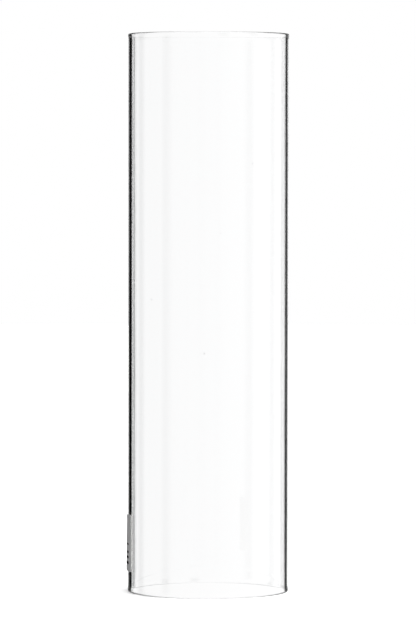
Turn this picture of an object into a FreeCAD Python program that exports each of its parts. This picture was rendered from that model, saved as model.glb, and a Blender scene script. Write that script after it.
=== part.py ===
"""Clear glass cylinder, open at both ends, with fire-polished lips and a small paper label.

Units are millimetres.  +Z runs up the cylinder's axis, and the origin is the centre of the
foot, on the surface that the cylinder stands on.  The label is on the -X side, near the foot.
"""

import FreeCAD, Part
import math
import os

# Glass tube
HEIGHT = 500.0
OUTER_DIAMETER = 144.0
WALL = 2.9

# Fire-polished ends: each cut end is melted round, a little thicker than the wall, and turned outwards
LIP_THICKNESS = 3.15
LIP_PROUD = 0.45  # beyond the outside of the wall
HOLLOW_RADIUS = 16.0  # where the outside of the wall sweeps out to a lip
BEND_RADIUS = 37.0  # where the bore opens towards a lip
FOOT_FLAT = 1.2  # width of the flat ring that the foot's lip settled on

# Paper label, wrapped on the outside of the tube
LABEL_WIDTH = 25.4  # measured round the tube
LABEL_HEIGHT = 50.8
LABEL_BOTTOM = 18.5  # above the foot
LABEL_CORNER = 2.0
LABEL_TURN = 7.3  # degrees from the -X side round to the label's middle, towards the front (-Y)
ADHESIVE_THICKNESS = 0.05
PAPER_THICKNESS = 0.12
INK_THICKNESS = 0.03

# Printed bars on the label, from the lowest up
BAR_HEIGHTS = (7.7, 12.8, 17.4, 24.4)  # middle of each bar above the label's lower edge
BAR_THICKNESSES = (2.4, 2.2, 2.0, 1.2)  # up the label
BAR_LENGTHS = (12.4, 14.0, 11.0, 13.2)  # measured round the tube
BAR_MARGIN = 8.0  # clear paper between the bars and the label's front edge

OUTER_RADIUS = OUTER_DIAMETER / 2
MEAN_RADIUS = OUTER_RADIUS - WALL / 2
LIP_RADIUS = LIP_THICKNESS / 2
LIP_SHIFT = WALL / 2 + LIP_PROUD - LIP_RADIUS  # from the middle of the wall out to the middle of a lip


def section_point(offset, z):
    """A point of the glass section, offset outwards from the middle of the wall."""
    return FreeCAD.Vector(MEAN_RADIUS + offset, 0, z)


def arc(centre, radius, start, end):
    """An arc of the section about (offset, z), its angles in radians from the outward direction."""
    def point(angle):
        return section_point(centre[0] + radius * math.cos(angle), centre[1] + radius * math.sin(angle))
    return Part.Arc(point(start), point((start + end) / 2), point(end)).toShape()


def line(start, end):
    return Part.makeLine(section_point(*start), section_point(*end))


def glass_cylinder():
    """The tube wall and both lips, turned about the axis as one piece of glass."""
    outside, bore = WALL / 2, -WALL / 2
    hollow_offset = outside + HOLLOW_RADIUS
    hollow_turn = math.acos((hollow_offset - LIP_SHIFT) / (HOLLOW_RADIUS + LIP_RADIUS))
    hollow_rise = (HOLLOW_RADIUS + LIP_RADIUS) * math.sin(hollow_turn)  # from a lip's middle
    bend_offset = bore + BEND_RADIUS
    bend_turn = math.acos((bend_offset - LIP_SHIFT) / (BEND_RADIUS - LIP_RADIUS))
    bend_rise = (BEND_RADIUS - LIP_RADIUS) * math.sin(bend_turn)
    flat = math.acos(FOOT_FLAT / 2 / LIP_RADIUS)
    foot_z = LIP_RADIUS * math.sin(flat)
    rim_z = HEIGHT - LIP_RADIUS
    foot_lip, rim_lip = (LIP_SHIFT, foot_z), (LIP_SHIFT, rim_z)
    edges = [
        line((LIP_SHIFT - FOOT_FLAT / 2, 0), (LIP_SHIFT + FOOT_FLAT / 2, 0)),
        arc(foot_lip, LIP_RADIUS, -flat, hollow_turn),
        arc((hollow_offset, foot_z + hollow_rise), HOLLOW_RADIUS, math.pi + hollow_turn, math.pi),
        line((outside, foot_z + hollow_rise), (outside, rim_z - hollow_rise)),
        arc((hollow_offset, rim_z - hollow_rise), HOLLOW_RADIUS, math.pi, math.pi - hollow_turn),
        arc(rim_lip, LIP_RADIUS, -hollow_turn, math.pi - bend_turn),
        arc((bend_offset, rim_z - bend_rise), BEND_RADIUS, math.pi - bend_turn, math.pi),
        line((bore, rim_z - bend_rise), (bore, foot_z + bend_rise)),
        arc((bend_offset, foot_z + bend_rise), BEND_RADIUS, math.pi, math.pi + bend_turn),
        arc(foot_lip, LIP_RADIUS, math.pi + bend_turn, math.pi + flat),
    ]
    section = Part.Face(Part.Wire(edges))
    return section.revolve(FreeCAD.Vector(0, 0, 0), FreeCAD.Vector(0, 0, 1), 360)


def skin(inner_radius, thickness):
    """A sleeve round the tube, as tall as the label."""
    base = FreeCAD.Vector(0, 0, LABEL_BOTTOM)
    outside = Part.makeCylinder(inner_radius + thickness, LABEL_HEIGHT, base)
    return outside.cut(Part.makeCylinder(inner_radius, LABEL_HEIGHT, base))


def block(round_start, round_end, low, high, corner):
    """A block that reaches from the axis out through the -X side of the tube.

    round_start and round_end are distances round the tube from the label's middle, positive
    towards its front edge (-Y); low and high are heights above the label's lower edge.
    """
    start_y = -OUTER_RADIUS * math.sin(round_end / OUTER_RADIUS)
    end_y = -OUTER_RADIUS * math.sin(round_start / OUTER_RADIUS)
    length = OUTER_DIAMETER
    base = FreeCAD.Vector(-length, start_y, LABEL_BOTTOM + low)
    body = Part.makeBox(length, end_y - start_y, high - low, base)
    if not corner:
        return body
    along = [edge for edge in body.Edges if abs(edge.tangentAt(0).x) > 0.5]
    return body.makeFillet(corner, along)


def turned_to_place(shape):
    """Turns a shape made about the -X side round to where the label sits."""
    shape.rotate(FreeCAD.Vector(0, 0, 0), FreeCAD.Vector(0, 0, 1), LABEL_TURN)
    return shape


def label_layer(inner_radius, thickness):
    """One layer of the label, the full size of the paper, with rounded corners."""
    half = LABEL_WIDTH / 2
    outline = block(-half, half, 0, LABEL_HEIGHT, LABEL_CORNER)
    return turned_to_place(skin(inner_radius, thickness).common(outline))


def label_print():
    """Plain printed bars, as separate films of ink that start level at the front."""
    sleeve = skin(OUTER_RADIUS + ADHESIVE_THICKNESS + PAPER_THICKNESS, INK_THICKNESS)
    front = LABEL_WIDTH / 2 - BAR_MARGIN
    films = []
    for middle, thick, length in zip(BAR_HEIGHTS, BAR_THICKNESSES, BAR_LENGTHS):
        bar = block(front - length, front, middle - thick / 2, middle + thick / 2, 0)
        films.append(sleeve.common(bar))
    return turned_to_place(Part.makeCompound(films))


def main():
    nodes = {
        "glass_cylinder": glass_cylinder(),
        "label_adhesive": label_layer(OUTER_RADIUS, ADHESIVE_THICKNESS),
        "label_paper": label_layer(OUTER_RADIUS + ADHESIVE_THICKNESS, PAPER_THICKNESS),
        "label_print": label_print(),
    }
    os.makedirs("parts", exist_ok=True)
    for name, shape in nodes.items():
        shape.exportStep(f"parts/{name}.step")
        print(name, "valid" if shape.isValid() else "INVALID", len(shape.Solids), "solids",
              f"{shape.Volume:.2f} mm3", shape.BoundBox)


main()
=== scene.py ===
"""Looks of the open-ended glass cylinder: the glass itself, its paper label, and a plain white studio."""

import math

import bmesh
import bpy
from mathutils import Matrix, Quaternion, Vector


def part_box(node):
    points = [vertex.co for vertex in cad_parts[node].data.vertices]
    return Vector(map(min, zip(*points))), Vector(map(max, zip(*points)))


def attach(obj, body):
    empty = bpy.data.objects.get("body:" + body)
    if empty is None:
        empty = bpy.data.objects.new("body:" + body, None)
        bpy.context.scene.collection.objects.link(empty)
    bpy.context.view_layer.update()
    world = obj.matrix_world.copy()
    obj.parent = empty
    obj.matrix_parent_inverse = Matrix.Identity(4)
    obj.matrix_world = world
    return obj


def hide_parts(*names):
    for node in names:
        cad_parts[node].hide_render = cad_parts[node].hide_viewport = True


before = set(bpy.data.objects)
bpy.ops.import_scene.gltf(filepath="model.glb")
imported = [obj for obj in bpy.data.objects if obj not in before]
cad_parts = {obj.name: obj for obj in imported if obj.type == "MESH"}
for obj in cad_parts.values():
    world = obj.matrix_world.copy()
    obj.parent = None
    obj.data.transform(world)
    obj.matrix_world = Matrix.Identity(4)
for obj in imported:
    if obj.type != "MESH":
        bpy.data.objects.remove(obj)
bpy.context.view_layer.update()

MM = 0.001

# The glass, from the frame
GLASS_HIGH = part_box("glass_cylinder")[1]
HEIGHT = GLASS_HIGH.z
LIP_PROUD = 0.45 * MM
OUTER_RADIUS = GLASS_HIGH.x - LIP_PROUD
WALL = 2.9 * MM
MEAN_RADIUS = OUTER_RADIUS - WALL / 2
LIP_RADIUS = 1.575 * MM
LIP_SHIFT = WALL / 2 + LIP_PROUD - LIP_RADIUS
HOLLOW_RADIUS = 16.0 * MM
BEND_RADIUS = 37.0 * MM
FOOT_FLAT = 1.2 * MM
SEGMENTS = 360


# ---------------------------------------------------------------- glass shape

def arc_points(centre, radius, start, end, steps):
    """Points (offset, z) of an arc, its angles in radians from the outward direction."""
    turns = [start + (end - start) * i / steps for i in range(steps + 1)]
    return [(centre[0] + radius * math.cos(a), centre[1] + radius * math.sin(a)) for a in turns]


def wall_run(start, end):
    """Points between two ends of a wall face, closer together beside the ends."""
    length = abs(end[1] - start[1])
    near = [0.4 * MM / length, 1.2 * MM / length, 3.0 * MM / length]
    inner = [i / 50 for i in range(1, 50)]
    shares = near + [f for f in inner if near[-1] < f < 1 - near[-1]] + [1 - f for f in reversed(near)]
    return [(start[0], start[1] + (end[1] - start[1]) * f) for f in shares]


def glass_section():
    """The closed outline of the wall and its two round lips, as (offset from mid-wall, z), anticlockwise.

    A hollow outside and a wide bend inside turn the wall outwards into each lip.
    """
    hollow_u = WALL / 2 + HOLLOW_RADIUS
    hollow_turn = math.acos((hollow_u - LIP_SHIFT) / (HOLLOW_RADIUS + LIP_RADIUS))
    hollow_rise = (HOLLOW_RADIUS + LIP_RADIUS) * math.sin(hollow_turn)
    bend_u = BEND_RADIUS - WALL / 2
    bend_turn = math.acos((bend_u - LIP_SHIFT) / (BEND_RADIUS - LIP_RADIUS))
    bend_rise = (BEND_RADIUS - LIP_RADIUS) * math.sin(bend_turn)
    flat = math.acos(FOOT_FLAT / 2 / LIP_RADIUS)
    foot = (LIP_SHIFT, LIP_RADIUS * math.sin(flat))
    rim = (LIP_SHIFT, HEIGHT - LIP_RADIUS)
    pi = math.pi
    foot_hollow = arc_points((hollow_u, foot[1] + hollow_rise), HOLLOW_RADIUS, pi + hollow_turn, pi, 8)
    rim_hollow = arc_points((hollow_u, rim[1] - hollow_rise), HOLLOW_RADIUS, pi, pi - hollow_turn, 8)
    rim_bend = arc_points((bend_u, rim[1] - bend_rise), BEND_RADIUS, pi - bend_turn, pi, 6)
    foot_bend = arc_points((bend_u, foot[1] + bend_rise), BEND_RADIUS, pi, pi + bend_turn, 6)
    outline = arc_points(foot, LIP_RADIUS, -flat, hollow_turn, 14) + foot_hollow[1:]
    outline += wall_run(foot_hollow[-1], rim_hollow[0]) + rim_hollow
    outline += arc_points(rim, LIP_RADIUS, -hollow_turn, pi - bend_turn, 30)[1:] + rim_bend[1:]
    outline += wall_run(rim_bend[-1], foot_bend[0]) + foot_bend
    return outline + arc_points(foot, LIP_RADIUS, pi + bend_turn, pi + flat, 10)[1:]


def wall_waver(angle, z):
    """How far the inside of the wall stands in from its true place: slow unevenness of drawn glass."""
    share = z / HEIGHT
    fade = min(1.0, share / 0.04, (1 - share) / 0.04)
    slow = 0.03 * math.sin(2 * angle + 1.1 + 2.0 * share) + 0.015 * math.sin(5 * angle + 4.0 - 3.1 * share)
    foot = 0.04 * (0.5 - share)
    return (slow + foot) * MM * max(0.0, fade)


def add_seed(bm, angle, share, radius, stretch):
    """A tiny air bubble inside the wall, drawn out along the tube."""
    made = bmesh.ops.create_icosphere(bm, subdivisions=3, radius=radius)["verts"]
    place = Vector((MEAN_RADIUS * math.sin(angle), -MEAN_RADIUS * math.cos(angle), HEIGHT * share))
    for v in made:
        v.co.z *= stretch
        v.co += place
    faces = {f for v in made for f in v.link_faces}
    bmesh.ops.reverse_faces(bm, faces=list(faces))


# Seeds: degrees round from the front, share of the height, radius in mm, stretch.
# The first is the speck in the photograph; the others are invented.
SEEDS = (
    (-3, 0.433, 0.40, 1.4),
    (33, 0.768, 0.26, 1.7),
    (62, 0.863, 0.30, 1.4),
    (67, 0.565, 0.30, 1.6),
    (65, 0.133, 0.30, 1.5),
    (118, 0.31, 0.28, 1.8),
    (171, 0.64, 0.25, 2.0),
    (-131, 0.52, 0.30, 1.6),
)


def make_glass():
    bm = bmesh.new()
    rings = []
    for offset, z in glass_section():
        ring = []
        for k in range(SEGMENTS):
            angle = 2 * math.pi * k / SEGMENTS
            r = MEAN_RADIUS + offset
            if offset < 0:
                r -= wall_waver(angle, z)
            ring.append(bm.verts.new((r * math.cos(angle), r * math.sin(angle), z)))
        rings.append(ring)
    for i, ring in enumerate(rings):
        above = rings[(i + 1) % len(rings)]
        for k in range(SEGMENTS):
            n = (k + 1) % SEGMENTS
            bm.faces.new((ring[k], ring[n], above[n], above[k]))
    bmesh.ops.recalc_face_normals(bm, faces=bm.faces)
    for degrees, share, radius, stretch in SEEDS:
        add_seed(bm, math.radians(degrees), share, radius * MM, stretch)
    return finish_mesh(bm, "clear_glass_cylinder")


def finish_mesh(bm, name):
    """Makes a smooth-shaded piece from bm and puts it in the scene."""
    mesh = bpy.data.meshes.new(name)
    bm.to_mesh(mesh)
    bm.free()
    mesh.polygons.foreach_set("use_smooth", [True] * len(mesh.polygons))
    piece = bpy.data.objects.new(name, mesh)
    bpy.context.scene.collection.objects.link(piece)
    return piece


# ---------------------------------------------------------------- label shape

LABEL_LOW, LABEL_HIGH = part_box("label_paper")
LABEL_BOTTOM = LABEL_LOW.z
LABEL_HEIGHT = LABEL_HIGH.z - LABEL_LOW.z
LABEL_FRONT = math.asin(-LABEL_LOW.y / OUTER_RADIUS)  # its edges, as angles from -X towards the front
LABEL_BACK = math.asin(-LABEL_HIGH.y / OUTER_RADIUS)
LABEL_TURN = (LABEL_FRONT + LABEL_BACK) / 2
LABEL_HALF = OUTER_RADIUS * (LABEL_FRONT - LABEL_BACK) / 2
LABEL_CORNER = 2.0 * MM
GLUE_GAP = 0.01 * MM
GLUE_TOP = 0.05 * MM
PAPER_TOP = 0.17 * MM
INK_TOP = 0.195 * MM


def label_bow(s, t):
    """How far the label stands off the glass: a blister, a lifted back edge and two lifted corners."""
    u, v = s / LABEL_HALF, t / LABEL_HEIGHT
    blister = 0.26 * math.exp(-((u - 0.1) / 0.55) ** 2 - ((v - 0.42) / 0.38) ** 2)
    front_top = max(0.0, u + v - 1.45) * 0.45
    back_foot = max(0.0, -u - v + 0.75) * 0.5
    back_edge = max(0.0, -u - 0.25) * 0.6
    wrinkle = 0.02 * math.sin(9 * v + 3 * u) * math.exp(-((u - 0.3) / 0.4) ** 2)
    return (blister + front_top + back_foot + back_edge + wrinkle + 0.10) * MM


def label_point(s, t, lift):
    """s is the distance round the tube from the label's middle towards the front, t is up the label."""
    r = OUTER_RADIUS + label_bow(s, t) + lift
    angle = LABEL_TURN + s / OUTER_RADIUS
    return Vector((-r * math.cos(angle), -r * math.sin(angle), LABEL_BOTTOM + t))


def half_width(t, bottom, top, half, corner):
    """Half the width of a rounded rectangle at height t."""
    into = max(bottom + corner - t, t - (top - corner), 0.0)
    return half - corner + math.sqrt(max(corner**2 - into**2, 0.0))


def slab(name, s_mid, half, bottom, top, corner, lift_low, lift_high, columns, rows):
    """A thin closed sheet with rounded corners that follows the label's surface."""
    bm = bmesh.new()
    bend = [corner * (1 - math.cos(math.pi / 2 * i / 6)) for i in range(6)]
    straight = [corner + (top - bottom - 2 * corner) * i / rows for i in range(rows + 1)]
    heights = [bottom + h for h in bend + straight] + [top - h for h in reversed(bend)]
    sheets = []
    for lift in (lift_low, lift_high):
        sheet = []
        for t in heights:
            w = half_width(t, bottom, top, half, corner)
            spots = [s_mid + w * (2 * c / columns - 1) for c in range(columns + 1)]
            sheet.append([bm.verts.new(label_point(s, t, lift)) for s in spots])
        sheets.append(sheet)
    back, front = sheets
    for r in range(len(heights) - 1):
        for c in range(columns):
            bm.faces.new((front[r][c], front[r][c + 1], front[r + 1][c + 1], front[r + 1][c]))
            bm.faces.new((back[r][c], back[r + 1][c], back[r + 1][c + 1], back[r][c + 1]))
    rim = [(0, c) for c in range(columns)] + [(r, columns) for r in range(len(heights) - 1)]
    rim += [(len(heights) - 1, c) for c in range(columns, 0, -1)]
    rim += [(r, 0) for r in range(len(heights) - 1, 0, -1)]
    for (r0, c0), (r1, c1) in zip(rim, rim[1:] + rim[:1]):
        bm.faces.new((back[r0][c0], back[r1][c1], front[r1][c1], front[r0][c0]))
    bmesh.ops.recalc_face_normals(bm, faces=bm.faces)
    for edge in bm.edges:
        edge.smooth = edge.calc_face_angle(0) < math.radians(50)
    return finish_mesh(bm, name)


def cad_films():
    """The place of each printed film: (middle s, half length, bottom, top), from the frame's own mesh."""
    bm = bmesh.new()
    bm.from_mesh(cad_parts["label_print"].data)
    bmesh.ops.remove_doubles(bm, verts=bm.verts, dist=0.001 * MM)
    left = set(bm.verts)
    films = []
    while left:
        stack, island = [left.pop()], []
        while stack:
            vert = stack.pop()
            island.append(vert)
            near = {e.other_vert(vert) for e in vert.link_edges} & left
            left -= near
            stack += near
        s_values = [OUTER_RADIUS * (math.atan2(-v.co.y, -v.co.x) - LABEL_TURN) for v in island]
        t_values = [v.co.z - LABEL_BOTTOM for v in island]
        middle = (max(s_values) + min(s_values)) / 2
        films.append((middle, (max(s_values) - min(s_values)) / 2, min(t_values), max(t_values)))
    bm.free()
    return sorted(films, key=lambda film: film[2])


# ---------------------------------------------------------------- materials

def new_material(name):
    material = bpy.data.materials.new(name)
    material.use_nodes = True
    return material, material.node_tree, material.node_tree.nodes["Principled BSDF"]


def add(tree, kind, inputs=None, **settings):
    """Adds a node, sets its properties and input values, and links inputs given as sockets."""
    node = tree.nodes.new(kind)
    for key, value in settings.items():
        setattr(node, key, value)
    for key, value in (inputs or {}).items():
        if isinstance(value, bpy.types.NodeSocket):
            tree.links.new(value, node.inputs[key])
        else:
            node.inputs[key].default_value = value
    return node


def noise(tree, vector, scale, detail, roughness=0.5):
    inputs = {"Vector": vector, "Scale": scale, "Detail": detail, "Roughness": roughness}
    return add(tree, "ShaderNodeTexNoise", inputs).outputs["Fac"]


def own_place(tree):
    """Where a point lies on the piece, in metres."""
    return add(tree, "ShaderNodeTexCoord").outputs["Object"]


def relief(tree, shader, height, strength, distance):
    inputs = {"Height": height, "Strength": strength, "Distance": distance}
    tree.links.new(add(tree, "ShaderNodeBump", inputs).outputs[0], shader.inputs["Normal"])


def blend_by(tree, share, first, second):
    """A colour that goes from first to second as share goes from 0 to 1."""
    mix = add(tree, "ShaderNodeMix", {"Factor": share}, data_type="RGBA")
    for socket, value in ((mix.inputs[6], first), (mix.inputs[7], second)):
        if isinstance(value, bpy.types.NodeSocket):
            tree.links.new(value, socket)
        else:
            socket.default_value = value
    return mix.outputs[2]


def share_between(tree, value, low, high):
    return add(tree, "ShaderNodeMapRange", {"Value": value, "From Min": low, "From Max": high}).outputs[0]


def glass_material():
    material, tree, shader = new_material("clear_glass")
    shader.inputs["Base Color"].default_value = (1, 1, 1, 1)
    shader.inputs["Transmission Weight"].default_value = 1.0
    shader.inputs["Roughness"].default_value = 0.0
    shader.inputs["IOR"].default_value = 1.5
    drawn = add(tree, "ShaderNodeMapping", {"Vector": own_place(tree), "Scale": (1, 1, 0.06)})
    relief(tree, shader, noise(tree, drawn.outputs[0], 130.0, 3.0), 0.05, 0.4 * MM)
    tint = add(tree, "ShaderNodeVolumeAbsorption", {"Color": (0.80, 0.85, 0.90, 1), "Density": 6.0})
    tree.links.new(tint.outputs[0], tree.nodes["Material Output"].inputs["Volume"])
    return material


def paper_material():
    material, tree, shader = new_material("label_paper")
    fibres = noise(tree, own_place(tree), 2200.0, 6.0)
    clouds = noise(tree, own_place(tree), 90.0, 3.0)
    mixed = add(tree, "ShaderNodeMath", {0: fibres, 1: clouds}, operation="ADD").outputs[0]
    tone = share_between(tree, mixed, 0.6, 1.4)
    shade = blend_by(tree, tone, (0.80, 0.80, 0.79, 1), (0.90, 0.90, 0.89, 1))
    tree.links.new(shade, shader.inputs["Base Color"])
    shader.inputs["Roughness"].default_value = 0.85
    relief(tree, shader, fibres, 0.35, 0.05 * MM)
    return material


def glue_material():
    material, tree, shader = new_material("label_adhesive")
    patches = noise(tree, own_place(tree), 260.0, 5.0, 0.6)
    tone = share_between(tree, patches, 0.42, 0.6)
    shade = blend_by(tree, tone, (0.52, 0.52, 0.50, 1), (0.66, 0.66, 0.63, 1))
    tree.links.new(shade, shader.inputs["Base Color"])
    shader.inputs["Roughness"].default_value = 0.3
    relief(tree, shader, patches, 0.2, 0.1 * MM)
    return material


def ink_material():
    material, tree, shader = new_material("label_ink")
    grain = noise(tree, own_place(tree), 1800.0, 4.0)
    tone = share_between(tree, grain, 0.35, 0.75)
    shade = blend_by(tree, tone, (0.004, 0.004, 0.005, 1), (0.020, 0.020, 0.023, 1))
    tree.links.new(shade, shader.inputs["Base Color"])
    rough = add(tree, "ShaderNodeMapRange", {"Value": grain, "To Min": 0.75, "To Max": 0.95})
    tree.links.new(rough.outputs[0], shader.inputs["Roughness"])
    shader.inputs["Specular IOR Level"].default_value = 0.1
    relief(tree, shader, grain, 0.2, 0.03 * MM)
    return material


# ---------------------------------------------------------------- object

def dress(piece, material, node):
    piece.data.materials.append(material)
    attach(piece, "root")
    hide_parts(node)


def make_object():
    dress(make_glass(), glass_material(), "glass_cylinder")
    glue = slab("label_glue_film", 0, LABEL_HALF - 0.3 * MM, 0.3 * MM, LABEL_HEIGHT - 0.3 * MM,
                LABEL_CORNER, GLUE_GAP, GLUE_TOP, 26, 50)
    dress(glue, glue_material(), "label_adhesive")
    paper = slab("label_paper_sheet", 0, LABEL_HALF, 0, LABEL_HEIGHT,
                 LABEL_CORNER, GLUE_TOP, PAPER_TOP, 26, 50)
    dress(paper, paper_material(), "label_paper")
    ink = ink_material()
    for number, (middle, half, bottom, top) in enumerate(cad_films(), 1):
        film = slab(f"label_print_{number}", middle, half, bottom, top, 0.4 * MM, PAPER_TOP, INK_TOP, 18, 4)
        dress(film, ink, "label_print")


# ---------------------------------------------------------------- studio

# What the glass sees all round, as rings of pale and dark cards at several heights:
# (degrees round from +Y towards +X, brightness).  The level ring was set so that the lines
# down the sides of the glass match the photograph, and the high ring so that its rim and foot do.
# The low ring darkens the sides of the glass when it is seen from above.
LEVEL_LIGHT = (
    (-180, 0.93), (-126, 0.93), (-117.5, 0.36), (-113, 0.36), (-106, 0.92), (-76, 0.92),
    (-68, 0.27), (-62, 0.27), (-54, 0.9), (-46, 0.95), (-43.4, 0.22), (-40.2, 0.22),
    (-39.2, 1.6), (-36, 1.6), (-35.2, 0.0), (-18.6, 0.0), (-17.4, 0.17), (-14.5, 0.17),
    (-11.2, 0.04), (-10.1, 1.0), (-7, 0.98), (-3, 0.96), (0, 0.99), (4, 1.05),
    (8, 1.14), (16, 1.15), (19, 0.04), (34, 0.04), (38, 1.0), (150, 1.0),
    (180, 0.93),
)
LOW_LIGHT = (
    (-180, 1.0), (-79, 1.0), (-73, 0.08), (-66, 0.08), (-59, 1.04), (-31, 1.04),
    (-24, 0.08), (-17, 0.08), (-11, 1.0), (11, 1.0), (17, 0.08), (28, 0.08),
    (36, 1.0), (101, 1.0), (107, 0.08), (114, 0.08), (121, 1.04), (149, 1.04),
    (156, 0.08), (163, 0.08), (169, 1.0), (180, 1.0),
)
NADIR_LIGHT = ((-180, 0.1), (-34, 0.1), (-16, 1.0), (16, 1.0), (34, 0.1), (180, 0.1))
HIGH_LIGHT = (
    (-180, 1.0), (-110, 1.0), (-70, 0.15), (-22, 0.15), (-6, 1.0), (8, 1.0), (22, 0.15), (62, 0.15),
    (90, 1.0), (180, 1.0),
)
DEEP_LIGHT = (0.97, 0.97, 0.97, 1)
SHADE_SIDE = (0.18, 0.18, 0.187, 1)
LIT_SIDE = (1.6, 1.6, 1.6, 1)
CEILING = (4.2, 4.2, 4.2, 1)
DEEP_STARTS = (math.radians(-66), math.radians(-58))
NADIR_STARTS = (math.radians(-38), math.radians(-32))
LOW_STARTS = (math.radians(-11), math.radians(-8))
HIGH_STARTS = (math.radians(6), math.radians(9))


def ring_of_light(tree, azimuth, stops):
    ramp = add(tree, "ShaderNodeValToRGB", {"Fac": azimuth})
    elements = ramp.color_ramp.elements
    while len(elements) > 1:
        elements.remove(elements[-1])
    for i, (degrees, level) in enumerate(stops):
        element = elements[0] if i == 0 else elements.new((degrees + 180) / 360)
        element.position = (degrees + 180) / 360
        element.color = (level, level, level, 1)
    return ramp.outputs["Color"]


def make_world():
    world = bpy.data.worlds.new("studio")
    bpy.context.scene.world = world
    world.use_nodes = True
    tree = world.node_tree
    place = add(tree, "ShaderNodeTexCoord")
    parts = add(tree, "ShaderNodeSeparateXYZ", {"Vector": place.outputs["Generated"]})
    turn = add(tree, "ShaderNodeMath", {0: parts.outputs["X"], 1: parts.outputs["Y"]}, operation="ARCTAN2")
    azimuth = share_between(tree, turn.outputs[0], -math.pi, math.pi)
    rise = parts.outputs["Z"]
    level = ring_of_light(tree, azimuth, LEVEL_LIGHT)
    low = ring_of_light(tree, azimuth, LOW_LIGHT)
    nadir = ring_of_light(tree, azimuth, NADIR_LIGHT)
    high = ring_of_light(tree, azimuth, HIGH_LIGHT)
    above_nadir = share_between(tree, rise, math.sin(NADIR_STARTS[0]), math.sin(NADIR_STARTS[1]))
    above_low = share_between(tree, rise, math.sin(LOW_STARTS[0]), math.sin(LOW_STARTS[1]))
    above_level = share_between(tree, rise, math.sin(HIGH_STARTS[0]), math.sin(HIGH_STARTS[1]))
    above_deep = share_between(tree, rise, math.sin(DEEP_STARTS[0]), math.sin(DEEP_STARTS[1]))
    below = blend_by(tree, above_nadir, blend_by(tree, above_deep, DEEP_LIGHT, nadir), low)
    glass_sees = blend_by(tree, above_level, blend_by(tree, above_low, below, level), high)
    # Matte surfaces are lit by a white ceiling and a pale room, with a dark screen on the -X side
    room = blend_by(tree, share_between(tree, rise, 0.25, 0.6), LIT_SIDE, CEILING)
    matte_sees = blend_by(tree, share_between(tree, parts.outputs["X"], -0.35, 0.1), SHADE_SIDE, room)
    ray = add(tree, "ShaderNodeLightPath")
    lit = blend_by(tree, ray.outputs["Diffuse Depth"], glass_sees, matte_sees)
    seen = blend_by(tree, ray.outputs["Is Camera Ray"], lit, (1.0, 1.0, 1.0, 1))
    tree.links.new(seen, tree.nodes["Background"].inputs["Color"])


def make_floor():
    bm = bmesh.new()
    bmesh.ops.create_grid(bm, x_segments=8, y_segments=8, size=6.0)
    floor = finish_mesh(bm, "studio_floor")
    floor.location.z = -0.2 * MM
    material, tree, shader = new_material("studio_floor")
    grain = noise(tree, own_place(tree), 3.0, 2.0)
    shade = blend_by(tree, grain, (0.90, 0.90, 0.90, 1), (0.93, 0.93, 0.93, 1))
    tree.links.new(shade, shader.inputs["Base Color"])
    shader.inputs["Roughness"].default_value = 0.9
    floor.data.materials.append(material)
    floor.visible_diffuse = False
    floor.visible_transmission = False
    floor.visible_glossy = False


def make_light(name, place, size, power):
    light = bpy.data.lights.new(name, "AREA")
    light.shape = "DISK"
    light.size = size
    light.energy = power
    lamp = bpy.data.objects.new(name, light)
    lamp.location = place
    middle = Vector((0, 0, HEIGHT / 2))
    lamp.rotation_euler = (middle - lamp.location).to_track_quat("-Z", "Y").to_euler()
    bpy.context.scene.collection.objects.link(lamp)


def make_camera():
    distance = 7.6 * HEIGHT
    camera = bpy.data.cameras.new("camera")
    holder = bpy.data.objects.new("camera", camera)
    bpy.context.scene.collection.objects.link(holder)
    bpy.context.scene.camera = holder
    holder.location = (0, -distance, 0.78 * HEIGHT)
    aim = Vector((-0.4 * MM, 0, 0.5014 * HEIGHT))
    lean = Quaternion((0, 0, 1), math.radians(0.085))
    holder.rotation_euler = ((aim - holder.location).to_track_quat("-Z", "Y") @ lean).to_euler()
    in_view = 1.1188 * HEIGHT
    camera.sensor_width = 36
    camera.lens = camera.sensor_width * distance / in_view
    camera.clip_end = 40


bpy.context.scene.view_settings.view_transform = "Standard"
make_object()
make_world()
make_floor()
make_light("overhead_softbox", (0.6, -0.8, 2.4), 1.6, 6)
make_camera()
